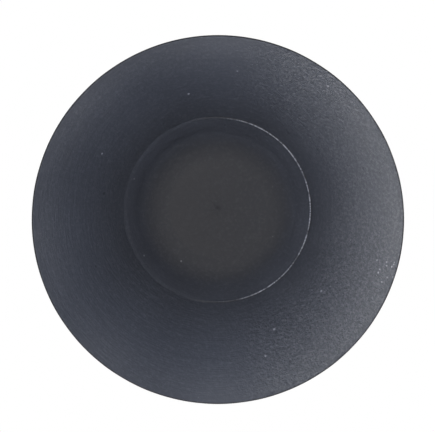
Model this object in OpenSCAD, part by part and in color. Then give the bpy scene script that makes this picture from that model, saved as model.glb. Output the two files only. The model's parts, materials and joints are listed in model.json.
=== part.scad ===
// Sink plunger: a flared rubber force cup on a short turned wooden handle.
// The cup stands mouth down on Z = 0 with its centre on the Z axis, and the
// handle rises along +Z. The handle's stud screws into a threaded bush that is
// moulded, with its thrust plate, into the crown of the cup.

/* [Force cup] */
// Diameter of the mouth, over the lip
mouth_d = 125; // [110:1:140]
// Width of the flat ring that the lip seals with
lip_face_w = 0.5; // [0.4:0.1:1.2]
// Height of the straight band round the outside of the lip
rim_band_h = 3.4; // [2.5:0.1:5]
// Diameter of the fine ring where the skirt meets the well
throat_d = 66.6; // [64:0.1:70]
// Height of that ring above the lip
throat_z = 32; // [30:0.5:33]
// Diameter of the flat floor of the well
floor_d = 36; // [32:1:38]
// Height of the floor of the well above the lip
floor_z = 38.5; // [38:0.5:40]
// Thickness of the skirt where it joins the crown
skirt_wall = 4.2; // [3.5:0.1:5]
// Height of the crown's shoulder, where the boss starts
shoulder_z = 49; // [49:0.5:51]
// Diameter of the boss at its root
boss_d = 35; // [34:0.5:38]
// Height of the top of the boss
boss_top_z = 74; // [73:0.5:77]

/* [Moulded-in hardware] */
// Diameter of the thrust plate
plate_d = 38; // [34:1:40]
// Thickness of the thrust plate
plate_t = 2; // [1.5:0.5:2.5]
// Diameter of the threaded bush
bush_d = 17; // [16:0.5:18]
// Rubber between the floor of the well and the thrust plate
plate_cover = 4; // [3.5:0.5:4.5]

/* [Stud and washer] */
// Mean diameter of the stud's thread
stud_d = 9.2; // [9.2:0.1:9.6]
// Length of thread in the bush
stud_grip = 18; // [16:1:20]
// Length of the wood screw in the handle
screw_l = 34; // [28:1:40]
// Diameter of the washer
washer_d = 29; // [28:1:31]
// Thickness of the washer
washer_t = 2; // [1.5:0.5:2.5]

/* [Handle] */
// Length of the handle
handle_l = 238; // [200:1:280]
// Diameter at the foot, over the ferrule
foot_d = 27; // [26:0.5:28]
// Length of the ferrule
ferrule_l = 22; // [18:1:26]
// Diameter of the waist above the ferrule
waist_d = 22; // [20:0.5:23]
// Largest diameter of the grip
grip_d = 27; // [25:0.5:29]
// Diameter of the hanging hole
hang_hole_d = 8; // [6:0.5:9]

/* [Hidden] */
$fn = 96;

rubber = "#2b2c31";
steel = "#a9adb2";
brass = "#b08d4a";
beech = "#c99a63";

// Rubber stands this far off the metal moulded into it
mould_gap = 0.1;
// Running clearance on a radius
run_gap = 0.05;
// Clearance on a radius of a driven fit
drive_gap = 0.02;
// Segments in one turned arc
ARC_STEPS = 10;

lip_r = mouth_d / 2;
throat_r = throat_d / 2;
floor_r = floor_d / 2;
boss_r = boss_d / 2;
boss_taper = 1.2;
boss_top_r = boss_r - boss_taper;

// How far the skirt's inner and outer faces belly out from a straight cone
inner_belly = 0.5;
outer_belly = 2.0;
// Outline of the fine step at the throat, from its well side to its skirt side
throat_step = [[-0.45, 0.2], [-0.22, -0.12], [0.1, -0.15], [0.35, -0.02]];
// Radius at which the well's wall and its floor would meet without a fillet
well_corner_r = 24.6;
// How far along the well's wall its fillet starts
well_fillet_start = 0.5;

// Height of the lower face of the thrust plate
plate_z = floor_z + plate_cover;
bush_z = plate_z + plate_t;
bush_r = bush_d / 2;
bush_top_z = boss_top_z - 0.4;
bush_flange_r = bush_r + 3;
bush_flange_t = 3;
bush_groove_r = bush_r - 1.2;
bush_groove_w = 4;
bush_groove_z = bush_z + 11;
bush_spigot_r = 6;

stud_r = stud_d / 2;
stud_tip_z = bush_top_z - stud_grip;
bush_bore_end_z = stud_tip_z - 3;
screw_r = 4;
screw_tip_l = 8;

// The handle's foot sits on the washer
washer_z = boss_top_z;
handle_z = washer_z + washer_t;
handle_top_z = handle_z + handle_l;
ferrule_t = 1;
ferrule_r = foot_d / 2;
tenon_r = ferrule_r - ferrule_t;
ferrule_top_z = handle_z + ferrule_l;
pin_r = 1.1;
pin_l = 9;
pin_head_r = 2.2;
pin_head_h = 0.8;
pin_z = handle_z + ferrule_l / 2 + 3;

waist_r = waist_d / 2;
grip_r = grip_d / 2;
waist_z = ferrule_top_z + 20;
grip_z = handle_top_z - 78;
neck_z = handle_top_z - 36;
neck_r = grip_r - 1.5;
end_r = 14;
end_z = handle_top_z - 16;
hang_z = handle_top_z - 17;
hang_r = hang_hole_d / 2;
flat_half_w = 11;
hang_chamfer = 0.8;
groove_r = 1.6;
groove_depth = 0.9;
groove_zs = [handle_top_z - 46, handle_top_z - 50];

// Points from a to b along an arc whose middle stands "belly" proud of the
// straight line, to the left of the way from a to b. Both ends are included.
function arc_between(a, b, belly, steps = ARC_STEPS) =
    let (
        way = b - a,
        span = norm(way),
        left = [-way[1], way[0]] / span
    )
    [for (i = [0:steps])
        let (t = i / steps)
        a + way * t + left * belly * 4 * t * (1 - t)];

// Points of a quarter-round from a to b that leaves a towards the corner
function corner_curve(a, corner, b, steps = ARC_STEPS) =
    [for (i = [0:steps])
        let (t = i / steps, u = 1 - t)
        a * u * u + corner * 2 * t * u + b * t * t];

// Half outline of the moulded-in bush, grown by "gap", from its foot upwards
function bush_outline(gap) = [
    [bush_flange_r + gap, bush_z],
    [bush_flange_r + gap, bush_z + bush_flange_t + gap],
    [bush_r + gap, bush_z + bush_flange_t + gap],
    [bush_r + gap, bush_groove_z + gap],
    [bush_groove_r + gap, bush_groove_z + gap],
    [bush_groove_r + gap, bush_groove_z + bush_groove_w - gap],
    [bush_r + gap, bush_groove_z + bush_groove_w - gap]
];

// One of the half-round grip ribs round the boss
module boss_rib(z) {
    rib_r = 1.4;
    up = (z - shoulder_z) / (boss_top_z - shoulder_z);
    translate([boss_r - boss_taper * up, z])
        circle(r = rib_r, $fn = 24);
}

// Half outline of the hollow, from the middle of the floor out to the lip
function hollow_outline() =
    let (
        throat = [throat_r, throat_z],
        step = [for (p = throat_step) throat + p],
        corner = [well_corner_r, floor_z],
        fillet_top = step[0] + (corner - step[0]) * well_fillet_start
    )
    concat(
        [[0, floor_z]],
        corner_curve([floor_r, floor_z], corner, fillet_top),
        [step[0], step[1], step[2]],
        arc_between(step[3], [lip_r - lip_face_w, 0], inner_belly)
    );

// The flared cup in one moulding: skirt, throat, well, crown and boss
module force_cup() {
    skirt_top = [throat_r + 0.6 * skirt_wall, throat_z + 0.8 * skirt_wall];
    ridge_w = 1.6;
    ridge_edge = 0.6;
    crown_foot = skirt_top + [-2, 2.8];
    crown_fillet = 3.5;
    crown_top = [boss_r + crown_fillet, shoulder_z - 0.6];
    boss_root = [boss_r - 0.1, shoulder_z + crown_fillet];
    boss_edge = 1.6;
    first_rib_z = shoulder_z + 8;
    rib_pitch = 5.5;
    color(rubber)
        rotate_extrude()
            difference() {
                union() {
                    polygon(concat(
                        hollow_outline(),
                        [[lip_r, 0]],
                        arc_between([lip_r, rim_band_h], skirt_top, -outer_belly),
                        [skirt_top + [0.2, ridge_w], skirt_top + [-1.4, ridge_w + ridge_edge]],
                        corner_curve(crown_foot, [boss_r + 9, shoulder_z - 2], crown_top),
                        corner_curve(crown_top, [boss_r, shoulder_z], boss_root),
                        corner_curve([boss_top_r, boss_top_z - boss_edge], [boss_top_r, boss_top_z],
                            [boss_top_r - boss_edge, boss_top_z]),
                        [[0, boss_top_z]]
                    ));
                    for (i = [0:2])
                        boss_rib(first_rib_z + rib_pitch * i);
                }
                // pocket of the thrust plate
                translate([-1, plate_z - mould_gap])
                    square([plate_d / 2 + mould_gap + 1, plate_t + 2 * mould_gap]);
                // pocket of the bush, open at the top of the boss
                polygon(concat(
                    [[-1, bush_z]],
                    bush_outline(mould_gap),
                    [[bush_r + mould_gap, boss_top_z + 1], [-1, boss_top_z + 1]]
                ));
            }
}

// Steel disc in the crown that spreads the push of the handle
module thrust_plate() {
    color(steel)
        translate([0, 0, plate_z])
            difference() {
                cylinder(h = plate_t, d = plate_d);
                translate([0, 0, -1])
                    cylinder(h = plate_t + 2, r = bush_spigot_r + drive_gap);
            }
}

// Brass bush in the boss, flanged and grooved to key into the rubber
module insert_bush() {
    mouth_chamfer = 0.8;
    bore_r = stud_r + run_gap;
    color(brass)
        rotate_extrude()
            difference() {
                polygon(concat(
                    [[0, plate_z + 0.3], [bush_spigot_r, plate_z + 0.3], [bush_spigot_r, bush_z]],
                    bush_outline(0),
                    [[bush_r, bush_top_z], [0, bush_top_z]]
                ));
                translate([-1, bush_bore_end_z])
                    square([bore_r + 1, boss_top_z - bush_bore_end_z]);
                polygon([
                    [0, bush_top_z - bore_r - mouth_chamfer], [bore_r + mouth_chamfer + 1, bush_top_z + 1],
                    [0, bush_top_z + 1]
                ]);
            }
}

// Double-ended stud: machine thread below, plain neck, wood screw above
module hanger_bolt() {
    tip_chamfer = 1;
    color(steel)
        rotate_extrude()
            polygon([
                [0, stud_tip_z], [stud_r - tip_chamfer, stud_tip_z], [stud_r, stud_tip_z + tip_chamfer],
                [stud_r, handle_z], [screw_r, handle_z],
                [screw_r, handle_z + screw_l - screw_tip_l],
                [0, handle_z + screw_l]
            ]);
}

// Flat washer, captive on the stud's neck between the boss and the ferrule
module washer() {
    edge = 0.3;
    hole_r = stud_r + run_gap;
    color(steel)
        rotate_extrude()
            polygon([
                [hole_r, washer_z], [washer_d / 2 - edge, washer_z], [washer_d / 2, washer_z + edge],
                [washer_d / 2, washer_z + washer_t - edge],
                [washer_d / 2 - edge, washer_z + washer_t], [hole_r, washer_z + washer_t]
            ]);
}

// Where the two ferrule pins are drilled, on opposite sides
module at_each_pin() {
    for (side = [0, 180])
        rotate([0, 0, side])
            translate([0, 0, pin_z])
                rotate([0, 90, 0])
                    children();
}

// Spun steel sleeve that keeps the handle's foot from splitting
module ferrule() {
    bead_r = 0.7;
    color(steel)
        difference() {
            rotate_extrude()
                difference() {
                    union() {
                        translate([tenon_r, handle_z])
                            square([ferrule_t, ferrule_l]);
                        for (z = [handle_z + 3, ferrule_top_z - 3])
                            translate([ferrule_r - 0.1, z])
                                circle(r = bead_r, $fn = 24);
                    }
                    translate([0, handle_z - 1])
                        square([tenon_r, ferrule_l + 2]);
                }
            at_each_pin()
                cylinder(h = ferrule_r + 5, r = pin_r + drive_gap);
        }
}

// Two round-headed pins that hold the ferrule on the handle
module ferrule_pins() {
    color(steel)
        at_each_pin() {
            translate([0, 0, ferrule_r - pin_l])
                cylinder(h = pin_l + 0.2, r = pin_r);
            translate([0, 0, ferrule_r + 0.05])
                cylinder(h = pin_head_h, r1 = pin_head_r, r2 = pin_head_r - 0.7);
        }
}

// Turned handle: tenon, waist, swelling grip, end knob with the hanging hole
module handle() {
    dome_h = handle_top_z - end_z;
    flat_l = 2 * dome_h + 16;
    saw_w = 20;
    tenon_edge = 0.6;
    fit_r = tenon_r - drive_gap;
    shaft_l = screw_l - screw_tip_l;
    difference() {
        color(beech)
            rotate_extrude()
                difference() {
                    polygon(concat(
                        [[0, handle_z], [fit_r - tenon_edge, handle_z],
                            [fit_r, handle_z + tenon_edge], [fit_r, ferrule_top_z]],
                        corner_curve([ferrule_r, ferrule_top_z], [ferrule_r + 0.4, ferrule_top_z + 7],
                            [waist_r, waist_z]),
                        arc_between([waist_r, waist_z], [grip_r, grip_z], -1.2),
                        arc_between([grip_r, grip_z], [neck_r, neck_z], -0.6),
                        arc_between([neck_r, neck_z], [end_r, end_z], 0.5),
                        corner_curve([end_r, end_z], [end_r, handle_top_z], [0, handle_top_z])
                    ));
                    for (z = groove_zs)
                        translate([grip_r + groove_r - groove_depth, z])
                            circle(r = groove_r, $fn = 24);
                }
        // flats either side of the hanging hole
        for (side = [-1, 1])
            translate([0, side * (flat_half_w + saw_w / 2), hang_z])
                cube([4 * end_r, saw_w, flat_l], center = true);
        // hanging hole with broken edges
        translate([0, 0, hang_z])
            rotate([90, 0, 0]) {
                cylinder(h = 4 * end_r, r = hang_r, center = true);
                for (side = [0, 180])
                    rotate([0, side, 0])
                        translate([0, 0, flat_half_w - hang_chamfer])
                            cylinder(h = saw_w, r1 = hang_r, r2 = hang_r + saw_w);
            }
        // pilot hole of the stud
        translate([0, 0, handle_z - 1])
            cylinder(h = shaft_l + 1.01, r = screw_r + drive_gap);
        translate([0, 0, handle_z + shaft_l])
            cylinder(h = screw_tip_l + 0.5, r1 = screw_r + drive_gap, r2 = 0);
        at_each_pin()
            translate([0, 0, ferrule_r - pin_l - 0.3])
                cylinder(h = 2 * pin_l, r = pin_r + drive_gap);
    }
}

force_cup();
thrust_plate();
insert_bush();
hanger_bolt();
washer();
ferrule();
ferrule_pins();
handle();
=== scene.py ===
import json
import math

import bmesh
import bpy
from mathutils import Matrix, Vector


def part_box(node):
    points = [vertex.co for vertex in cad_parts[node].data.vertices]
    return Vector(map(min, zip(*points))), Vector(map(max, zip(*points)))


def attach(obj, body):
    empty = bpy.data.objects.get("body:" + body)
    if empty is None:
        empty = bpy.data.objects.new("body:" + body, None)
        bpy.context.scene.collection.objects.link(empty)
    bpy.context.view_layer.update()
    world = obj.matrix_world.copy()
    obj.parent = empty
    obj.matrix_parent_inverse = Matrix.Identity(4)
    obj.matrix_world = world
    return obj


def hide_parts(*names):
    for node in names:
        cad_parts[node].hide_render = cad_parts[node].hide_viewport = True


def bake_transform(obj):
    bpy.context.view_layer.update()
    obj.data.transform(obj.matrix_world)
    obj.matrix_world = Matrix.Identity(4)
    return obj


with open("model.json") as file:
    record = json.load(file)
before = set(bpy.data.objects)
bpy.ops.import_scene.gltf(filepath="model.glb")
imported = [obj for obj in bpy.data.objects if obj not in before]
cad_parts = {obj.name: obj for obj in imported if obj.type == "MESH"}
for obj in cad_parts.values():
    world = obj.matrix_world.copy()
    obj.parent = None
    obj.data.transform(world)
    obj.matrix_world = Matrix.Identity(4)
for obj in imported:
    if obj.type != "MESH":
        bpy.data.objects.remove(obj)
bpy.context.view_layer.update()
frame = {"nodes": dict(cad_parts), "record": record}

MM = 0.001
TURN = 2 * math.pi

# ---------------------------------------------------------------- sizes, in mm


def box_mm(node):
    low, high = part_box(node)
    return [c / MM for c in low], [c / MM for c in high]


cup_high = box_mm("force_cup")[1]
washer_low, washer_high = box_mm("washer")
ferrule_low, ferrule_high = box_mm("ferrule")
handle_low, handle_high = box_mm("handle")
bolt_low, bolt_high = box_mm("hanger_bolt")
bush_low, bush_high = box_mm("insert_bush")
plate_low, plate_high = box_mm("thrust_plate")
hang_z = next(m["pos_m"][2] for m in frame["record"]["mounts"] if m["name"] == "hang_hole") / MM

LIP_R = cup_high[0]
BOSS_TOP = cup_high[2]
# inside of the cup
THROAT_R, THROAT_Z = 33.3, 32.0
FLOOR_R, FLOOR_Z = 18.0, 38.5
WELL_CORNER_R = 24.6
LIP_FACE = 0.5
# outside of the cup
RIM_BAND = 3.4
RIM_ROUND = 0.7
SKIRT_TOP = (35.82, 35.36)
SHOULDER_Z = 49.0
BOSS_R = 17.5
BOSS_TAPER = 1.2
RIB_R = 1.4
RIB_COUNT, RIB_PITCH, FIRST_RIB = 3, 5.5, 8.0
# bush moulded in the boss, and the gap kept between it and the rubber
BUSH_R = 8.5
FLANGE_R, FLANGE_H = 11.5, 3.0
GAP = 0.1
# thread of the stud
PITCH = 1.5
# ferrule, and the height of its pins above its foot
FERRULE_R = 13.5
PIN_UP = 14.0


# ---------------------------------------------------------------- small geometry helpers


def between(a, b, t):
    """The point a share t of the way from a to b."""
    return (a[0] + (b[0] - a[0]) * t, a[1] + (b[1] - a[1]) * t)


def quad(a, corner, b, n):
    """Points of a quarter-round from a to b that heads for the corner first."""
    out = []
    for i in range(n + 1):
        t = i / n
        u = 1 - t
        out.append(tuple(a[k] * u * u + corner[k] * 2 * t * u + b[k] * t * t for k in (0, 1)))
    return out


def bow(a, b, belly, n):
    """Points from a to b on an arc whose middle stands belly to the left of the straight way."""
    dx, dz = b[0] - a[0], b[1] - a[1]
    span = math.hypot(dx, dz)
    left = (-dz / span, dx / span)
    out = []
    for i in range(n + 1):
        t = i / n
        s = belly * 4 * t * (1 - t)
        out.append((a[0] + dx * t + left[0] * s, a[1] + dz * t + left[1] * s))
    return out


def arc(cx, cz, radius, start, end, n):
    """Points of a circular arc, angles in degrees."""
    out = []
    for i in range(n + 1):
        a = math.radians(start + (end - start) * i / n)
        out.append((cx + radius * math.cos(a), cz + radius * math.sin(a)))
    return out


def even_steps(pts, longest):
    """The same outline with no step longer than the longest."""
    out = []
    for a, b in zip(pts, pts[1:]):
        n = max(1, math.ceil(math.dist(a, b) / longest))
        out += [between(a, b, i / n) for i in range(n)]
    return out + [pts[-1]]


def smooth(lo, hi, x):
    t = min(max((x - lo) / (hi - lo), 0.0), 1.0)
    return t * t * (3 - 2 * t)


def shade_smooth(mesh, sharp):
    """Smooth shading, with the edges sharper than an angle in degrees kept sharp."""
    for p in mesh.polygons:
        p.use_smooth = True
    mesh.set_sharp_from_angle(angle=math.radians(sharp))


def add_mesh(name, verts, faces, sharp=35):
    """A smooth-shaded, welded mesh object, from points in mm."""
    weld, least_edge = 1e-7, 1e-8
    mesh = bpy.data.meshes.new(name)
    mesh.from_pydata([tuple(c * MM for c in v) for v in verts], [], faces)
    bm = bmesh.new()
    bm.from_mesh(mesh)
    bmesh.ops.remove_doubles(bm, verts=bm.verts, dist=weld)
    bmesh.ops.dissolve_degenerate(bm, edges=bm.edges, dist=least_edge)
    bmesh.ops.recalc_face_normals(bm, faces=bm.faces)
    bm.to_mesh(mesh)
    bm.free()
    shade_smooth(mesh, sharp)
    obj = bpy.data.objects.new(name, mesh)
    bpy.context.scene.collection.objects.link(obj)
    return obj


def turned(outline, segments, warp=None):
    """Vertices and faces of an outline of (r, z) points turned about Z; warp(r, z, angle) moves them."""
    verts, faces = [], []
    for r, z in outline:
        for k in range(segments):
            a = TURN * k / segments
            rr, zz = warp(r, z, a) if warp else (r, z)
            verts.append((rr * math.cos(a), rr * math.sin(a), zz))
    for i in range(len(outline) - 1):
        row, following = i * segments, (i + 1) * segments
        for k in range(segments):
            j = (k + 1) % segments
            faces.append((row + k, row + j, following + j, following + k))
    return verts, faces


def thread_sheet(z0, z1, pitch, profile, core, segments, fade=1.0):
    """A helical thread between two flat rings: profile is radii over one pitch, core the rings' radius."""
    n = len(profile)
    rows = int((z1 - z0) / pitch * n) + 2 * n + 1
    width = segments + 1
    verts, faces = [], []
    for k in range(rows):
        for j in range(width):
            z = z0 - pitch + pitch * (k / n + j / segments)
            z = min(max(z, z0), z1)
            keep = smooth(0, fade, z - z0) * smooth(0, fade, z1 - z)
            r = core + (profile[k % n] - core) * keep
            a = TURN * j / segments
            verts.append((r * math.cos(a), r * math.sin(a), z))
    for k in range(rows - 1):
        row, following = k * width, (k + 1) * width
        for j in range(segments):
            faces.append((row + j, row + j + 1, following + j + 1, following + j))
    return verts, faces


def thread_profile(low, high, n=12):
    """Radii over one pitch of a blunt 60-degree thread."""
    flat, flank = 0.14, 0.70
    out = []
    for i in range(n):
        t = i / n
        rise = min(max((min(t, 1 - t) * 2 - flat) / flank, 0.0), 1.0)
        out.append(low + (high - low) * rise)
    return out


def joined(*parts):
    """Vertices and faces of several parts as one."""
    verts, faces = [], []
    for v, f in parts:
        base = len(verts)
        verts += v
        faces += [tuple(base + i for i in face) for face in f]
    return verts, faces


# ---------------------------------------------------------------- node helpers


class Tree:
    """Short names for making nodes in one tree. A value may be a number, a tuple or another node's output."""

    def __init__(self, tree):
        self.tree = tree

    def node(self, kind, **settings):
        n = self.tree.nodes.new(kind)
        for key, value in settings.items():
            setattr(n, key, value)
        return n

    def link(self, out, socket):
        if hasattr(out, "links"):
            self.tree.links.new(out, socket)
        else:
            socket.default_value = out

    def math(self, op, a, b=0.0, clamp=False):
        n = self.node("ShaderNodeMath", operation=op, use_clamp=clamp)
        self.link(a, n.inputs[0])
        self.link(b, n.inputs[1])
        return n.outputs[0]

    def times(self, value, *others):
        for other in others:
            value = self.math("MULTIPLY", value, other)
        return value

    def total(self, value, *terms):
        """A value plus each of the terms, which are (value, weight)."""
        for term, weight in terms:
            value = self.math("ADD", value, self.math("MULTIPLY", term, weight))
        return value

    def vmath(self, op, a, b=None, out=0):
        n = self.node("ShaderNodeVectorMath", operation=op)
        self.link(a, n.inputs[0])
        if b is not None:
            self.link(b, n.inputs[1])
        return n.outputs[out]

    def step(self, lo, hi, x):
        """0 before lo, 1 past hi, smooth between; lo may be the larger."""
        n = self.node("ShaderNodeMapRange", interpolation_type="SMOOTHSTEP")
        self.link(x, n.inputs["Value"])
        if lo < hi:
            span, ends = (lo, hi), (0.0, 1.0)
        else:
            span, ends = (hi, lo), (1.0, 0.0)
        n.inputs["From Min"].default_value, n.inputs["From Max"].default_value = span
        n.inputs["To Min"].default_value, n.inputs["To Max"].default_value = ends
        return n.outputs["Result"]

    def noise(self, vector, scale, detail=4.0, rough=0.55, distortion=0.0):
        n = self.node("ShaderNodeTexNoise")
        self.link(vector, n.inputs["Vector"])
        n.inputs["Scale"].default_value = scale
        n.inputs["Detail"].default_value = detail
        n.inputs["Roughness"].default_value = rough
        n.inputs["Distortion"].default_value = distortion
        return n.outputs["Fac"]

    def cells(self, vector, scale):
        """The distance from the nearest of many scattered points, and that point's own random numbers."""
        n = self.node("ShaderNodeTexVoronoi", feature="F1")
        self.link(vector, n.inputs["Vector"])
        n.inputs["Scale"].default_value = scale
        numbers = self.node("ShaderNodeSeparateColor")
        self.link(n.outputs["Color"], numbers.inputs[0])
        return n.outputs["Distance"], numbers.outputs

    def mix(self, fac, a, b):
        n = self.node("ShaderNodeMix", data_type="RGBA")
        self.link(fac, n.inputs[0])
        self.link(a, n.inputs[6])
        self.link(b, n.inputs[7])
        return n.outputs[2]

    def tint(self, base, where, share, colour):
        """A base colour with a share of another laid over it where the mask is 1."""
        return self.mix(self.math("MULTIPLY", where, share), base, (*colour, 1.0))

    def ramp(self, fac, stops):
        n = self.node("ShaderNodeValToRGB")
        while len(n.color_ramp.elements) < len(stops):
            n.color_ramp.elements.new(0.5)
        for element, (at, colour) in zip(n.color_ramp.elements, stops):
            element.position = at
            element.color = (*colour, 1.0)
        self.link(fac, n.inputs[0])
        return n.outputs[0]

    def bump(self, height, strength, distance, normal=None):
        """A bumped normal; the distance is in metres."""
        n = self.node("ShaderNodeBump")
        n.inputs["Strength"].default_value = strength
        n.inputs["Distance"].default_value = distance
        self.link(height, n.inputs["Height"])
        if normal is not None:
            self.link(normal, n.inputs["Normal"])
        return n.outputs["Normal"]

    def combine(self, x, y, z):
        n = self.node("ShaderNodeCombineXYZ")
        for value, socket in zip((x, y, z), n.inputs):
            self.link(value, socket)
        return n.outputs[0]


class Finish(Tree):
    """A Principled material, and its object coordinates in metres: place, x, y, z, and r from the Z axis."""

    def __init__(self, name):
        self.material = bpy.data.materials.new(name)
        self.material.use_nodes = True
        super().__init__(self.material.node_tree)
        self.shader = self.tree.nodes["Principled BSDF"]
        self.place = self.node("ShaderNodeTexCoord").outputs["Object"]
        split = self.node("ShaderNodeSeparateXYZ")
        self.link(self.place, split.inputs[0])
        self.x, self.y, self.z = split.outputs
        flat = self.combine(self.x, self.y, 0.0)
        self.r = self.vmath("LENGTH", flat, out=1)

    def set(self, **inputs):
        for name, value in inputs.items():
            self.link(value, self.shader.inputs[name.replace("_", " ")])

    def past(self, lo, hi, length):
        """step() with its ends in mm."""
        return self.step(lo * MM, hi * MM, length)

    def near(self, x, y, z, lo, hi):
        """1 within hi mm of a point, which is in mm too, and 0 beyond lo mm."""
        return self.past(lo, hi, self.vmath("DISTANCE", self.place, (x * MM, y * MM, z * MM), out=1))

    def stretched(self, x, y, z):
        """Coordinates for marks with a different fineness along each axis, in marks per metre."""
        return self.vmath("MULTIPLY", self.place, (x, y, z))

    def around(self, size_r, size_z, size_round):
        """Coordinates for marks left by turning: fine across, in metres, and stretched round the axis."""
        cos = self.math("DIVIDE", self.x, self.math("MAXIMUM", self.r, 1e-4))
        sin = self.math("DIVIDE", self.y, self.math("MAXIMUM", self.r, 1e-4))
        out, up = self.math("DIVIDE", self.r, size_r), self.math("DIVIDE", self.z, size_z)
        across = self.math("SUBTRACT", out, up)
        return self.combine(self.times(cos, size_round), self.times(sin, size_round), across)

    def specks(self, scale, edge, core, rarity):
        """Small round spots, one in a cell of 1/scale metres whose random number is over rarity."""
        distance, numbers = self.cells(self.place, scale)
        spread = self.total(self.math("MULTIPLY", numbers[1], 0.10), (distance, 2.2))
        return self.times(self.step(edge, core, spread), self.math("GREATER_THAN", numbers[0], rarity))

    def outside(self):
        """1 on the outside of the cup, 0 in its hollow and well: over the cone halfway through the wall."""
        slope = THROAT_Z / (LIP_R - THROAT_R)
        half_wall, half_crown = 2.4, 3.0
        cone = self.math("ADD", self.math("MULTIPLY", self.r, -slope), (LIP_R * slope + half_wall) * MM)
        over = self.math("SUBTRACT", self.z, self.math("MINIMUM", cone, (FLOOR_Z + half_crown) * MM))
        return self.past(-0.2, 0.8, over)

    def cover(self, obj):
        obj.data.materials.clear()
        obj.data.materials.append(self.material)


# ---------------------------------------------------------------- rubber


def bare_rubber(f, patches, streaks):
    """Black with a faint bloom in patches, and paler along the streaks."""
    bloom = [
        (0.30, (0.0235, 0.0240, 0.0260)),
        (0.55, (0.0267, 0.0276, 0.0304)),
        (0.78, (0.0312, 0.0316, 0.0340)),
    ]
    base = f.ramp(patches, bloom)
    fine = f.noise(f.place, 900.0, 2.0, 0.6)
    base = f.tint(base, f.step(0.45, 0.75, fine), 0.55, (0.055, 0.055, 0.057))
    return f.tint(base, f.step(0.52, 0.74, streaks), 0.45, (0.050, 0.0495, 0.049))


def dusted(f, base):
    """Dust specks: a few everywhere, and a heap of finer ones in one place near the rim."""
    heap = f.near(57.6, 16.5, 4.0, 6.2, 3.5)
    few = f.specks(300.0, 0.42, 0.22, 0.972)
    many = f.specks(640.0, 0.66, 0.40, f.total(1.01, (heap, -0.75)))
    return f.tint(base, f.math("MAXIMUM", few, many), 0.85, (0.26, 0.255, 0.25))


def painted_well_light_and_shade(f, base, inside, toward):
    """Painted light and shade in the well: a painted lit patch makes its floor paler towards one side, and
    painted shade darkens its wall, most of all on that side.
    """
    # painted light: a lit patch on the floor of the well, paler towards -X
    painted_floor_light = f.times(f.past(FLOOR_R + 1.0, FLOOR_R - 1.5, f.r), f.past(13.0, -15.0, f.x), inside)
    base = f.tint(base, painted_floor_light, 0.60, (0.0385, 0.0365, 0.0365))
    # painted shade: the wall of the well darkened, most of all on the -X side
    wall = f.times(f.past(FLOOR_R - 0.2, FLOOR_R + 2.0, f.r), inside)
    wall = f.times(wall, f.past(THROAT_R - 0.3, THROAT_R - 1.0, f.r))
    shaded_side = f.times(f.step(0.1, -0.5, toward), f.past(26.5, 30.0, f.r))
    return f.tint(base, wall, f.total(0.22, (shaded_side, 0.36)), (0.012, 0.012, 0.015))


def pits(f, inside, lit_side):
    """Small pits, close together in one place of the skirt and scattered over the side where light grazes."""
    cluster = f.near(47.0, 13.5, 15.0, 12.0, 3.0)
    rarity = f.total(0.992, (cluster, -0.55), (lit_side, -0.11))
    return f.times(f.specks(400.0, 0.62, 0.34, rarity), inside)


def painted_grain_glints(f, base, lit_side):
    """Painted light on the grain of the side where light grazes: short pale marks as painted glints, and a
    mottle of painted shade and painted highlight.
    """
    marks = f.noise(f.around(0.00055, 0.00055, 20.0), 1.0, 3.0, 0.6, 0.5)
    base = f.tint(base, f.times(f.step(0.60, 0.72, marks), lit_side), 0.55, (0.085, 0.084, 0.082))
    mottle = f.noise(f.place, 1050.0, 3.0, 0.75)
    base = f.tint(base, f.times(f.step(0.50, 0.36, mottle), lit_side), 0.60, (0.015, 0.015, 0.017))
    return f.tint(base, f.times(f.step(0.50, 0.62, mottle), lit_side), 0.90, (0.068, 0.0672, 0.066))


def painted_crest_highlight(f, toward):
    """1 where a highlight is painted pale along the edge of the step at the throat, in beads and stretches on
    one side.
    """
    off_crest = f.math("ABSOLUTE", f.math("SUBTRACT", f.r, (THROAT_R - 0.09) * MM))
    crest = f.times(f.past(0.28, 0.12, off_crest), f.past(THROAT_Z + 1.5, THROAT_Z + 0.7, f.z))
    beads = f.step(0.38, 0.60, f.noise(f.around(1.0, 1.0, 38.0), 1.0, 3.0, 0.6))
    stretches = f.step(0.36, 0.60, f.noise(f.around(1.0, 1.0, 7.0), 1.0, 2.0, 0.5))
    uneven = f.times(f.total(0.22, (beads, 0.78)), f.math("ADD", 0.25, stretches))
    return f.math("MULTIPLY", crest, f.times(f.step(-0.12, 0.62, toward), uneven), clamp=True)


def settled_dust(f, base, outside, patches):
    """Dust that lies on the ledge over the skirt and round the root of the boss."""
    ledge = f.times(f.past(36.2, 37.6, f.z), f.past(40.0, 38.4, f.z))
    root = f.past(SHOULDER_Z - 0.5, SHOULDER_Z + 1.0, f.z)
    root = f.times(root, f.past(SHOULDER_Z + 5.5, SHOULDER_Z + 2.5, f.z))
    dust = f.times(f.math("ADD", ledge, root), outside, f.step(0.35, 0.65, patches))
    return f.tint(base, dust, 0.40, (0.125, 0.115, 0.102))


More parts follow.
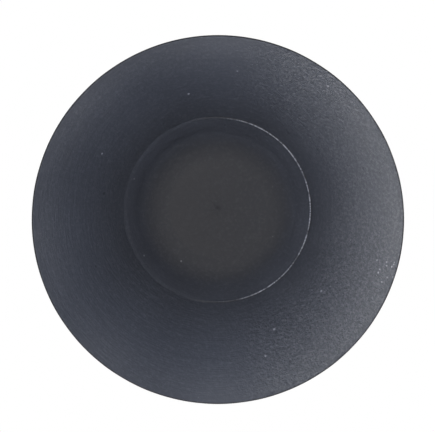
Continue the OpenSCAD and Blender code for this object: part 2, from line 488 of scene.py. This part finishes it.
def rubber():
    """Matt moulded black rubber, coarser on one side of the hollow, with painted highlights and painted shade
    in the hollow, scuffed and smeared outside.
    """
    f = Finish("moulded_rubber")
    outside = f.outside()
    inside = f.math("SUBTRACT", 1.0, outside)
    toward = f.math("DIVIDE", f.x, f.math("MAXIMUM", f.r, 1e-4))
    # the +X side of the hollow, where light grazes: its grain is bumped more, and painted glints and shade go
    # there
    lit_side = f.times(f.step(-0.05, 0.55, toward), inside, f.past(34.5, 46.0, f.r))
    patches = f.noise(f.place, 28.0, 3.0, 0.6)
    # tool marks: rings round the axis, broken up along their way, at three sizes
    rings = f.noise(f.around(0.00030, 0.00030, 6.0), 1.0, 3.0, 0.6)
    streaks = f.noise(f.around(0.0011, 0.0011, 9.0), 1.0, 3.0, 0.6)
    broad = f.noise(f.around(0.0045, 0.0045, 4.0), 1.0, 2.0, 0.5)
    # colour of the hollow
    base = dusted(f, bare_rubber(f, patches, streaks))
    # painted light on the floor of the well and painted shade on its wall
    base = painted_well_light_and_shade(f, base, inside, toward)
    pit = pits(f, inside, lit_side)
    # the pits are real dents, painted near black: painted shade inside them
    base = f.tint(base, pit, 0.85, (0.006, 0.006, 0.007))
    # painted glints and painted shade on the grain of the side where light grazes
    base = painted_grain_glints(f, base, lit_side)
    crest = painted_crest_highlight(f, toward)
    # painted highlight: the edge of the step at the throat is painted pale on the +X side
    base = f.mix(crest, base, (0.37, 0.37, 0.375, 1.0))
    # wear outside: scuffs where the rim is knocked, smears from wet hands, dust in the corners
    scuffs = f.noise(f.stretched(340.0, 340.0, 900.0), 1.0, 5.0, 0.7, 0.6)
    scuffed = f.times(f.step(0.56, 0.70, scuffs), f.past(16.0, 1.0, f.z), outside)
    base = f.tint(base, scuffed, 0.65, (0.115, 0.112, 0.108))
    smears = f.noise(f.stretched(40.0, 40.0, 90.0), 1.0, 5.0, 0.65, 1.2)
    smeared = f.times(f.step(0.50, 0.66, smears), outside)
    base = f.tint(base, smeared, 0.30, (0.062, 0.061, 0.060))
    base = settled_dust(f, base, outside, patches)
    rough = f.total(0.36, (patches, 0.12), (streaks, 0.14), (crest, -0.15), (smeared, -0.10), (scuffed, 0.15))
    # relief: tool marks, grain, and what is scratched or knocked out of the surface
    normal = f.bump(broad, 0.35, 0.00030)
    normal = f.bump(streaks, 0.45, 0.00018, normal)
    normal = f.bump(rings, 0.40, 0.00005, normal)
    grain = f.noise(f.place, 1300.0, 3.0, 0.65)
    coarse = f.noise(f.place, 780.0, 2.0, 0.6)
    relief = f.times(f.total(0.0, (grain, 0.7), (coarse, 1.3)), f.total(0.30, (lit_side, 1.60)))
    normal = f.bump(relief, 1.0, 0.00016, normal)
    hairs = f.noise(f.stretched(1400.0, 160.0, 700.0), 1.0, 2.0, 0.5, 0.8)
    scratched = f.times(f.step(0.70, 0.76, hairs), outside)
    dents = f.total(0.0, (scratched, -1.0), (scuffed, -1.0), (pit, -1.0))
    normal = f.bump(dents, 0.5, 0.00006, normal)
    f.set(Base_Color=base, Roughness=rough, Normal=normal)
    return f


# ---------------------------------------------------------------- metals and wood


def steel(name, colour, dull, grain_size):
    """Turned metal with darker patches and stains; also used for the brass."""
    f = Finish(name)
    patches = f.noise(f.place, 180.0, 4.0, 0.6)
    turned_marks = f.noise(f.around(grain_size, grain_size, 3.0), 1.0, 3.0, 0.7)
    dark = tuple(c * 0.72 for c in colour)
    base = f.ramp(patches, [(0.32, dark), (0.62, colour)])
    stain = f.step(0.60, 0.74, f.noise(f.place, 420.0, 5.0, 0.7))
    base = f.tint(base, stain, 0.5, (0.30, 0.27, 0.23))
    rough = f.total(dull, (turned_marks, 0.16), (stain, 0.15))
    normal = f.bump(turned_marks, 0.35, 0.00002)
    f.set(Base_Color=base, Roughness=rough, Metallic=1.0, Normal=normal)
    return f


def growth_rings(f):
    """1 in the late wood: tilted, wavy sheets about a heart well outside the blank."""
    bend = f.noise(f.stretched(18.0, 18.0, 4.0), 1.0, 2.0, 0.5)
    from_heart = f.vmath("SUBTRACT", f.stretched(1.0, 1.0, 0.03), (0.05, 0.03, 0.0))
    rings_per_metre = 330.0
    rings = f.total(0.0, (f.vmath("LENGTH", from_heart, out=1), rings_per_metre), (bend, 2.2))
    saw = f.math("FRACT", rings)
    return f.times(f.step(0.45, 0.95, saw), f.step(1.0, 0.96, saw))


def ray_flecks(f):
    """1 in the short dark dashes along the grain."""
    distance, numbers = f.cells(f.stretched(1900.0, 900.0, 330.0), 1.0)
    return f.times(f.step(0.42, 0.16, distance), f.step(0.55, 0.75, numbers[0]))


def beech():
    """Turned beech under thin lacquer, darkened by hands at the grip and by water at the foot."""
    f = Finish("turned_beech")
    late = growth_rings(f)
    fleck = ray_flecks(f)
    fibre = f.noise(f.stretched(1500.0, 1500.0, 45.0), 1.0, 4.0, 0.6)
    tone = f.noise(f.stretched(60.0, 60.0, 9.0), 1.0, 3.0, 0.5)
    tones = [
        (0.25, (0.47, 0.285, 0.140)),
        (0.50, (0.56, 0.355, 0.185)),
        (0.78, (0.63, 0.42, 0.235)),
    ]
    base = f.ramp(tone, tones)
    base = f.tint(base, late, 0.34, (0.36, 0.19, 0.082))
    base = f.tint(base, f.step(0.42, 0.68, fibre), 0.28, (0.40, 0.23, 0.11))
    base = f.tint(base, fleck, 0.50, (0.27, 0.135, 0.058))
    foot, top = handle_low[2], handle_high[2]
    grip = f.times(f.past(foot + 90, foot + 150, f.z), f.past(top - 30, top - 70, f.z))
    smudge = f.times(grip, f.noise(f.place, 34.0, 3.0, 0.6))
    base = f.tint(base, smudge, 0.50, (0.33, 0.20, 0.105))
    damp = f.times(f.past(foot + 50, foot + 24, f.z), f.noise(f.place, 70.0, 3.0, 0.6))
    base = f.tint(base, damp, 0.65, (0.22, 0.13, 0.07))
    rough = f.total(0.34, (fibre, 0.16), (tone, 0.08))
    normal = f.bump(f.total(fibre, (fleck, -0.7)), 0.30, 0.00005)
    lathe_marks = f.noise(f.around(0.5, 0.0007, 1.5), 1.0, 2.0, 0.5)
    normal = f.bump(lathe_marks, 0.18, 0.00006, normal)
    f.set(Base_Color=base, Roughness=rough, Normal=normal)
    f.set(Coat_Weight=0.35, Coat_Roughness=0.28, Coat_IOR=1.45)
    return f


# ---------------------------------------------------------------- force cup


def hollow_points():
    """The well's floor and fillet, the fine step at the throat, and the skirt to just short of the lip."""
    ways = ((-0.45, 0.2), (-0.22, -0.12), (0.1, -0.15), (0.35, -0.02))
    step = [(THROAT_R + dx, THROAT_Z + dz) for dx, dz in ways]
    corner = (WELL_CORNER_R, FLOOR_Z)
    fillet_top = between(step[0], corner, 0.5)
    floor_rings = 20 / 3
    pts = [(FLOOR_R * i / floor_rings, FLOOR_Z) for i in range(7)]
    pts += quad((FLOOR_R, FLOOR_Z), corner, fillet_top, 16)
    pts += bow(fillet_top, step[0], 0.0, 6)[1:]
    pts += quad(step[0], step[1], between(step[1], step[2], 0.5), 5)[1:]
    pts += quad(pts[-1], step[2], step[3], 5)[1:]
    pts += bow(step[3], (LIP_R - LIP_FACE, 0.0), 0.5, 60)[1:-1]
    return pts


def lip_points():
    """A softly broken inner edge, the flat sealing face, a broken outer edge and the band round the rim."""
    inner, edge = LIP_R - LIP_FACE, 0.22
    pts = quad((inner - 0.12, 0.13), (inner, 0.0), (inner + edge, 0.0), 4)
    pts += quad((LIP_R - edge * 1.2, 0.0), (LIP_R, 0.0), (LIP_R, edge * 1.6), 6)
    pts += [(LIP_R, z) for z in (1.2, 2.2, RIM_BAND - RIM_ROUND)]
    return pts


def back_points():
    """The outside: up the skirt, over the raised ridge round the throat and the shoulder, to the boss."""
    skirt = bow((LIP_R, RIM_BAND), SKIRT_TOP, -2.0, 44)
    pts = quad((LIP_R, RIM_BAND - RIM_ROUND), (LIP_R, RIM_BAND), skirt[2], 6)[1:]
    pts += skirt[3:-1]
    ways = ((0.45, 0.35), (0.75, 1.75), (-0.5, 2.15), (-1.5, 2.2), (-2.0, 2.8))
    ridge = [(SKIRT_TOP[0] + dx, SKIRT_TOP[1] + dz) for dx, dz in ways]
    pts += quad(skirt[-2], SKIRT_TOP, ridge[0], 4)[1:]
    pts += quad(ridge[0], ridge[1], ridge[2], 7)[1:]
    pts += quad(ridge[2], ridge[3], ridge[4], 5)[1:]
    crown = (BOSS_R + 3.5, SHOULDER_Z - 0.6)
    pts += quad(ridge[4], (BOSS_R + 9, SHOULDER_Z - 2), crown, 20)[1:]
    pts += quad(crown, (BOSS_R, SHOULDER_Z), (BOSS_R - 0.1, SHOULDER_Z + 3.5), 12)[1:]
    return pts


def boss_side(z):
    """The point of the boss's tapered side at a height."""
    return (BOSS_R - BOSS_TAPER * (z - SHOULDER_Z) / (BOSS_TOP - SHOULDER_Z), z)


def rib_points(z):
    """One half-round rib on the boss, with a small fillet below it and above it."""
    centre = boss_side(z)[0]
    low, high = z - RIB_R, z + RIB_R
    pts = [boss_side(low - 0.9)]
    pts += quad(boss_side(low - 0.5), boss_side(low), (centre + 0.55, low + 0.12), 4)
    pts += arc(centre, z, RIB_R, -58, 58, 12)
    pts += quad((centre + 0.55, high - 0.12), (centre, high), boss_side(high + 0.5), 4)
    return pts + [boss_side(high + 0.9)]


def pocket_points():
    """The rounded top of the boss, and the pockets that the bush and the plate are moulded in."""
    top_r, rounding = BOSS_R - BOSS_TAPER, 1.6
    pts = quad((top_r, BOSS_TOP - rounding), (top_r, BOSS_TOP), (top_r - rounding, BOSS_TOP), 10)
    bush_r, flange_r, plate_r = BUSH_R + GAP, FLANGE_R + GAP, plate_high[0] + GAP
    flange_z = plate_high[2] + GAP
    pts += [(12.0, BOSS_TOP), (bush_r + 0.5, BOSS_TOP)]
    pts += [(bush_r + 0.1, BOSS_TOP - 0.1), (bush_r, BOSS_TOP - 0.5)]
    pts += [(bush_r, flange_z + FLANGE_H), (flange_r, flange_z + FLANGE_H), (flange_r, flange_z)]
    pts += [(plate_r, flange_z), (plate_r, plate_low[2] - GAP), (0.0, plate_low[2] - GAP)]
    return pts


def cup_outline():
    pts = hollow_points() + lip_points() + back_points()
    for i in range(RIB_COUNT):
        pts += rib_points(SHOULDER_Z + FIRST_RIB + RIB_PITCH * i)
    return pts + pocket_points()


def cup_warp(r, z, a):
    """The small unevenness of a moulding: the step at the throat wanders, and the lip isn't quite even."""
    if z < THROAT_Z + 0.5:
        near = math.exp(-((r - THROAT_R) / 0.8) ** 2)
        waves = ((3, 1.0, 1.1), (7, 0.7, 0.4), (17, 0.5, 2.0), (41, 0.4, 0.0))
        r += 0.03 * near * sum(height * math.sin(count * a + start) for count, height, start in waves)
        z += 0.02 * near * math.sin(11 * a + 0.7)
    # the step dies out on one side, where the wall of the well runs straight on into the skirt
    inner, outer = (29.5, 34.74), (33.65, 31.98)
    if inner[0] < r < outer[0] and z < inner[1]:
        straight = between(inner, outer, (r - inner[0]) / (outer[0] - inner[0]))[1]
        z += max(straight - z, 0.0) * smooth(0.10, -0.45, math.cos(a))
    if r > LIP_R - 1.2 and z < 2:
        r -= 0.02 * (1 + math.sin(23 * a) * math.sin(5 * a + 0.6))
    return r, z


def make_cup(finish):
    cup = add_mesh("rubber_cup", *turned(cup_outline(), 256, cup_warp), sharp=50)
    finish.cover(cup)
    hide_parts("force_cup")
    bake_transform(cup)


# ---------------------------------------------------------------- threaded hardware


def make_bolt(finish):
    segments = 64
    tip, top = bolt_low[2], bolt_high[2]
    foot = handle_low[2]
    core, crest = 4.1, 4.95
    thread_start, neck_z = tip + 0.9, washer_low[2] - 0.6
    neck_r = bolt_high[0]
    wood_r, wood_core, wood_start, wood_end = 4.0, 3.4, foot + 1.2, top - 8.0
    tip_part = turned([(0.0, tip), (3.0, tip), (3.3, tip + 0.05), (core, thread_start)], segments)
    machine = thread_sheet(thread_start, neck_z, PITCH, thread_profile(core, crest), core, segments)
    pts = [(core, neck_z), (neck_r, neck_z + 0.35), (neck_r, foot)]
    pts += [(wood_r, foot + 0.4), (wood_core, wood_start)]
    neck = turned(pts, segments)
    profile = thread_profile(wood_core, wood_r)
    wood = thread_sheet(wood_start, wood_end, 2 * PITCH, profile, wood_core, segments, fade=2.0)
    point = turned([(wood_core, wood_end), (2.0, top - 4.0), (0.5, top - 0.6), (0.0, top - 0.4)], segments)
    bolt = add_mesh("hanger_bolt_threaded", *joined(tip_part, machine, neck, wood, point), sharp=40)
    finish.cover(bolt)
    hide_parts("hanger_bolt")
    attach(bolt, "handle")


def make_bush(finish):
    segments = 64
    bottom, top = bush_low[2], bush_high[2]
    flange = plate_high[2]
    flange_top, groove, groove_top = flange + FLANGE_H, flange + 11.0, flange + 15.0
    groove_r, edge = BUSH_R - 1.2, 0.3
    bore, crest = 5.06, 4.22
    bore_end, thread_top = bolt_low[2] - 3.0, top - 0.9
    pts = [(0.0, bottom), (5.6, bottom), (6.0, bottom + edge), (6.0, flange), (FLANGE_R - edge, flange)]
    pts += [(FLANGE_R, flange + edge), (FLANGE_R, flange_top - edge), (FLANGE_R - edge, flange_top)]
    pts += [(BUSH_R, flange_top), (BUSH_R, groove), (groove_r, groove)]
    pts += [(groove_r, groove_top), (BUSH_R, groove_top)]
    pts += [(BUSH_R, top - edge), (BUSH_R - edge, top), (5.9, top), (bore, thread_top)]
    outer = turned(pts, segments)
    thread = thread_sheet(bore_end, thread_top, PITCH, thread_profile(crest, bore), bore, segments, fade=0.8)
    end = turned([(bore, bore_end), (4.2, bore_end), (0.0, bore_end - 1.0)], segments)
    bush = add_mesh("bush_threaded", *joined(outer, thread, end), sharp=40)
    finish.cover(bush)
    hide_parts("insert_bush")
    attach(bush, "crown")


def make_washer(finish):
    low, high = washer_low[2], washer_high[2]
    hole, outer, edge = 4.65, washer_high[0], 0.35
    pts = quad((hole + edge, low), (hole, low), (hole, low + edge), 4)
    pts += quad((hole, high - edge), (hole, high), (hole + edge, high), 4)
    pts += [(outer * 0.6, high)]
    pts += quad((outer - edge * 1.6, high), (outer, high), (outer, high - edge), 6)
    pts += quad((outer, low + edge * 0.5), (outer, low), (outer - edge * 0.5, low), 4)
    pts += [(outer * 0.6, low), pts[0]]
    washer = add_mesh("flat_washer", *turned(pts, 128), sharp=50)
    finish.cover(washer)
    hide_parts("washer")
    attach(washer, "washer")


def bead_points(z):
    """One rolled bead round the ferrule."""
    bead, flank = 0.7, FERRULE_R + 0.28
    foot, side = bead + 0.45, bead * 0.62
    pts = [(FERRULE_R, z - bead - 0.9)]
    pts += quad((FERRULE_R, z - foot), (FERRULE_R, z - bead), (flank, z - side), 4)
    pts += arc(FERRULE_R - 0.1, z, bead, -38, 38, 8)
    pts += quad((flank, z + side), (FERRULE_R, z + bead), (FERRULE_R, z + foot), 4)
    return pts + [(FERRULE_R, z + bead + 0.9)]


def dimple(r, z, a):
    """The sleeve is dished a little round each of its two pins."""
    for side in (0.0, math.pi):
        turn = (a - side + math.pi) % TURN - math.pi
        away = math.hypot(turn * FERRULE_R, z - (ferrule_low[2] + PIN_UP))
        r -= 0.18 * math.exp(-(away / 2.6) ** 2)
    return r, z


def make_ferrule(finish):
    low, high = ferrule_low[2], ferrule_high[2]
    inner = FERRULE_R - 1.0
    row = 0.5
    pts = [(inner, low + 0.1)] + quad((inner + 0.1, low), (FERRULE_R, low), (FERRULE_R, low + 0.6), 6)
    for z in (low + 3, high - 3):
        pts += bead_points(z)
    pts += quad((FERRULE_R, high - 0.9), (FERRULE_R, high), (FERRULE_R - 0.9, high), 8)
    pts += [(inner, high - 0.1), (inner, low + 0.1)]
    # rows close enough together for the dimples, on the outside only
    rows = []
    for a, b in zip(pts, pts[1:]):
        on_outside = min(a[0], b[0]) >= FERRULE_R - 0.01
        n = max(1, int(abs(b[1] - a[1]) / row)) if on_outside else 1
        rows += [between(a, b, i / n) for i in range(n)]
    rows.append(pts[-1])
    sleeve = add_mesh("spun_ferrule", *turned(rows, 192, dimple), sharp=60)
    finish.cover(sleeve)
    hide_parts("ferrule")
    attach(sleeve, "handle")


def make_pins(finish):
    """Two round-headed pins, turned about Z and laid along X, one from each side."""
    z = ferrule_low[2] + PIN_UP
    seat, shank, head, rise, edge = 13.32, 1.08, 2.2, 0.95, 0.12
    pts = [(0.0, seat - 8.6), (shank * 0.4, seat - 8.4), (shank, seat - 7.0)]
    pts += [(shank, seat), (head * 0.96, seat), (head, seat + edge)]
    for degrees in range(10, 91, 8):
        t = math.radians(degrees)
        pts.append((head * math.cos(t), seat + edge + (rise - edge) * math.sin(t)))
    pts += [(0.0, seat + rise)]
    verts, faces = turned(pts, 32)
    one = [(v[2], v[0], v[1] + z) for v in verts]
    other = [(-v[2], -v[0], v[1] + z) for v in verts]
    pins = add_mesh("ferrule_pin_pair", *joined((one, faces), (other, faces)), sharp=45)
    finish.cover(pins)
    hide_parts("ferrule_pins")
    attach(pins, "handle")


# ---------------------------------------------------------------- handle


def handle_outline():
    foot, top, sleeve_top = handle_low[2], handle_high[2], ferrule_high[2]
    fit = 12.45
    collar, waist = (FERRULE_R, sleeve_top + 0.7), (11.0, sleeve_top + 20)
    grip, neck, end = (13.5, top - 78), (12.0, top - 36), (14.0, top - 16)
    pts = [(0.0, foot), (6.0, foot), (fit - 0.6, foot), (fit, foot + 0.6)]
    pts += quad((fit, sleeve_top - 0.05), (FERRULE_R, sleeve_top), collar, 6)
    pts += quad(collar, (13.9, sleeve_top + 7), waist, 20)[1:]
    pts += bow(waist, grip, -1.2, 64)[1:]
    pts += bow(grip, neck, -0.6, 44)[1:]
    pts += bow(neck, end, 0.5, 24)[1:]
    pts += quad(end, (end[0], top), (0.0, top), 40)[1:]
    return grooved(even_steps(pts, 0.9), top - 50, top - 46)


def grooved(pts, lower, upper):
    """The outline with two decorative grooves, and finer steps where they are."""
    margin, steps = 3, 90
    half_width, depth = 1.3, 0.72
    before = [p for p in pts if p[1] <= lower - margin]
    inside = [p for p in pts if lower - margin < p[1] < upper + margin]
    after = [p for p in pts if p[1] >= upper + margin]
    fine = []
    for i in range(steps + 1):
        r, z = between(inside[0], inside[-1], i / steps)
        for groove in (upper, lower):
            off = abs(z - groove) / half_width
            if off < 1:
                r -= depth * math.sqrt(1 - off ** 2)
        fine.append((r, z))
    return before + fine + after


def sawn_flat(verts, flat_y, flat_z):
    """The handle's end, above flat_z, sawn flat on two sides and sanded into the round."""
    soft = 0.5
    shaped = []
    for x, y, z in verts:
        limit = flat_y - soft + 6.0 * (1 - smooth(flat_z - 4.0, flat_z + 3.0, z))
        over = abs(y) - limit
        if over > 0:
            y = math.copysign(limit + soft * (1 - math.exp(-over / soft)), y)
        shaped.append((x, y, z))
    return shaped


def hole_drill(flat_y):
    """A tool along Y for the hanging hole, with cones that break the hole's edges."""
    drill_r, broken, reach = 4.0, 0.9, 26.0
    mouth_r = drill_r + broken + 14.0
    pts = [(0.0, -reach), (mouth_r, -reach), (drill_r, broken - flat_y)]
    pts += [(drill_r, -7.0 + i * 2.0) for i in range(8)]
    pts += [(drill_r, flat_y - broken), (mouth_r, reach), (0.0, reach)]
    verts, faces = turned(pts, 64)
    return add_mesh("drill", [(x, z, y + hang_z) for x, y, z in verts], faces)


def make_handle(finish):
    flat_y, flat_z = 11.0, handle_high[2] - 41.0
    verts, faces = turned(handle_outline(), 144)
    handle = add_mesh("beech_handle", sawn_flat(verts, flat_y, flat_z), faces, sharp=48)
    drill = hole_drill(flat_y)
    cut = handle.modifiers.new("hole", "BOOLEAN")
    cut.operation, cut.object, cut.solver = "DIFFERENCE", drill, "EXACT"
    drilled = handle.evaluated_get(bpy.context.evaluated_depsgraph_get())
    mesh = bpy.data.meshes.new_from_object(drilled)
    handle.modifiers.clear()
    handle.data = mesh
    bpy.data.objects.remove(drill)
    shade_smooth(mesh, 38)
    finish.cover(handle)
    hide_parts("handle")
    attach(handle, "handle")


# ---------------------------------------------------------------- world, floor, lights, camera

HORIZON = (0.86, 0.86, 0.865)


def aim(azimuth, down):
    """The way to a point so many degrees below the horizon; azimuths go from +X towards +Y."""
    a, d = math.radians(azimuth), math.radians(down)
    return (math.cos(d) * math.cos(a), math.cos(d) * math.sin(a), -math.sin(d))


def glow_ring(down, sharp, colour, swing, side):
    """Eight glows all round, stronger towards the azimuth side and weaker away from it by the share swing."""
    glows = []
    for azimuth in range(0, 360, 45):
        strength = 1 + swing * math.cos(math.radians(azimuth - side))
        glows.append((azimuth, down, sharp, tuple(strength * c for c in colour)))
    return glows


def mouth_light():
    """The light up into the mouth, as glows: azimuth, degrees below the horizon, sharpness, colour."""
    glows = glow_ring(3, 260.0, (19.0, 19.0, 19.0), 0.4, 135)
    glows += glow_ring(17, 30.0, (3.7, 4.2, 5.6), 0.25, 160)
    for azimuth, strength in ((135, 12.0), (180, 20.0), (225, 9.0)):
        glows.append((azimuth, 8, 90.0, (strength, strength * 0.98, strength * 0.90)))
    glows.append((0, 90, 8.0, (1.8, 1.8, 1.9)))
    return glows


def make_world():
    """A pale studio above the horizon, and the light for the mouth below it."""
    world = bpy.data.worlds.new("studio")
    bpy.context.scene.world = world
    world.use_nodes = True
    t = Tree(world.node_tree)
    back = world.node_tree.nodes["Background"]
    way = t.node("ShaderNodeTexCoord").outputs["Generated"]
    split = t.node("ShaderNodeSeparateXYZ")
    t.link(way, split.inputs[0])
    z = split.outputs[2]
    below = (0.0, 0.0, 0.0)
    for azimuth, down, sharp, colour in mouth_light():
        dot = t.vmath("DOT_PRODUCT", way, aim(azimuth, down), out=1)
        lobe = t.math("EXPONENT", t.math("MULTIPLY", t.math("SUBTRACT", dot, 1.0), sharp))
        glow = t.vmath("SCALE", colour)
        t.link(lobe, glow.node.inputs["Scale"])
        below = t.vmath("ADD", below, glow)
    wall, ceiling = (0.66, 0.665, 0.675), (1.0, 1.0, 1.0)
    above = t.ramp(z, [(0.0, HORIZON), (0.30, wall), (0.86, wall), (0.93, ceiling)])
    t.link(t.mix(t.step(-0.032, -0.012, z), below, above), back.inputs["Color"])


def soft_light(name, place, target, size, watts, colour):
    data = bpy.data.lights.new(name, "AREA")
    data.shape, data.size, data.size_y = "RECTANGLE", *size
    data.energy, data.color = watts, colour
    obj = bpy.data.objects.new(name, data)
    bpy.context.scene.collection.objects.link(obj)
    obj.location = place
    obj.rotation_euler = (Vector(target) - Vector(place)).to_track_quat("-Z", "Y").to_euler()
    obj.visible_camera = False


def make_floor():
    """A plain pale floor, open under the mouth, that can't be seen from below."""
    hole = (LIP_R - 0.35) * MM
    radii = (hole, 0.10, 0.3, 1.0, 4.0, 14.0, 90.0)
    verts, faces = turned([(r, 0.0) for r in radii], 192)
    mesh = bpy.data.meshes.new("floor")
    mesh.from_pydata(verts, [], [face[::-1] for face in faces])
    floor = bpy.data.objects.new("floor", mesh)
    bpy.context.scene.collection.objects.link(floor)
    floor.location.z = -0.00002
    f = Finish("pale_floor")
    mottle = f.noise(f.place, 9.0, 3.0, 0.5)
    pale = f.ramp(mottle, [(0.3, (0.70, 0.70, 0.705)), (0.7, (0.735, 0.735, 0.74))])
    f.set(Base_Color=pale, Roughness=0.85)
    # far off it goes over into the wall behind, and from below it isn't there
    wall = f.node("ShaderNodeEmission")
    wall.inputs["Color"].default_value = (*HORIZON, 1.0)
    clear = f.node("ShaderNodeBsdfTransparent")
    side = f.node("ShaderNodeNewGeometry").outputs["Backfacing"]
    surface = f.shader.outputs[0]
    for share, other in ((f.step(0.4, 2.4, f.r), wall), (side, clear)):
        either = f.node("ShaderNodeMixShader")
        f.link(share, either.inputs[0])
        f.link(surface, either.inputs[1])
        f.link(other.outputs[0], either.inputs[2])
        surface = either.outputs[0]
    f.link(surface, f.tree.nodes["Material Output"].inputs["Surface"])
    f.cover(floor)


def make_camera():
    """Below the mouth, a few degrees off its axis, with -Y up in the picture."""
    data = bpy.data.cameras.new("camera")
    cam = bpy.data.objects.new("camera", data)
    bpy.context.scene.collection.objects.link(cam)
    bpy.context.scene.camera = cam
    drop, lean, turn = 0.45, math.radians(8.0), math.radians(-0.9)
    aside = drop * math.tan(lean)
    cam.location = (aside * math.sin(turn), -aside * math.cos(turn), -drop)
    # the lens makes the radius of the lip this share of the picture's width
    lip_share = 0.4285
    data.sensor_width = 36.0
    data.lens = data.sensor_width * lip_share * math.hypot(drop, aside) / (LIP_R * MM)
    target = Vector((-0.00015, -0.00239, 0.0))
    ahead = (target - cam.location).normalized()
    right = ahead.cross(Vector((0, -1, 0))).normalized()
    up = right.cross(ahead)
    cam.matrix_world = Matrix.Translation(cam.location) @ Matrix((right, up, -ahead)).transposed().to_4x4()
    data.clip_start, data.clip_end = 0.01, 200.0


black = rubber()
zinc = steel("zinc_plate", (0.66, 0.67, 0.69), 0.24, 0.00012)
spun = steel("spun_steel", (0.60, 0.60, 0.60), 0.20, 0.00016)
brass = steel("turned_brass", (0.72, 0.51, 0.23), 0.22, 0.00014)
wood = beech()

make_cup(black)
make_bolt(zinc)
make_bush(brass)
make_washer(zinc)
make_ferrule(spun)
make_pins(spun)
make_handle(wood)
zinc.cover(frame["nodes"]["thrust_plate"])

make_world()
make_floor()
soft_light("key", (-1.0, -1.1, 1.3), (0, 0, 0.12), (0.9, 0.9), 15.0, (1.0, 0.985, 0.96))
soft_light("fill", (1.3, -0.5, 0.8), (0, 0, 0.12), (0.8, 0.8), 4.0, (0.95, 0.975, 1.0))
soft_light("back", (0.5, 1.4, 1.0), (0, 0, 0.15), (0.8, 0.6), 8.0, (1.0, 1.0, 1.0))
make_camera()
bpy.context.scene.view_settings.view_transform = "Standard"
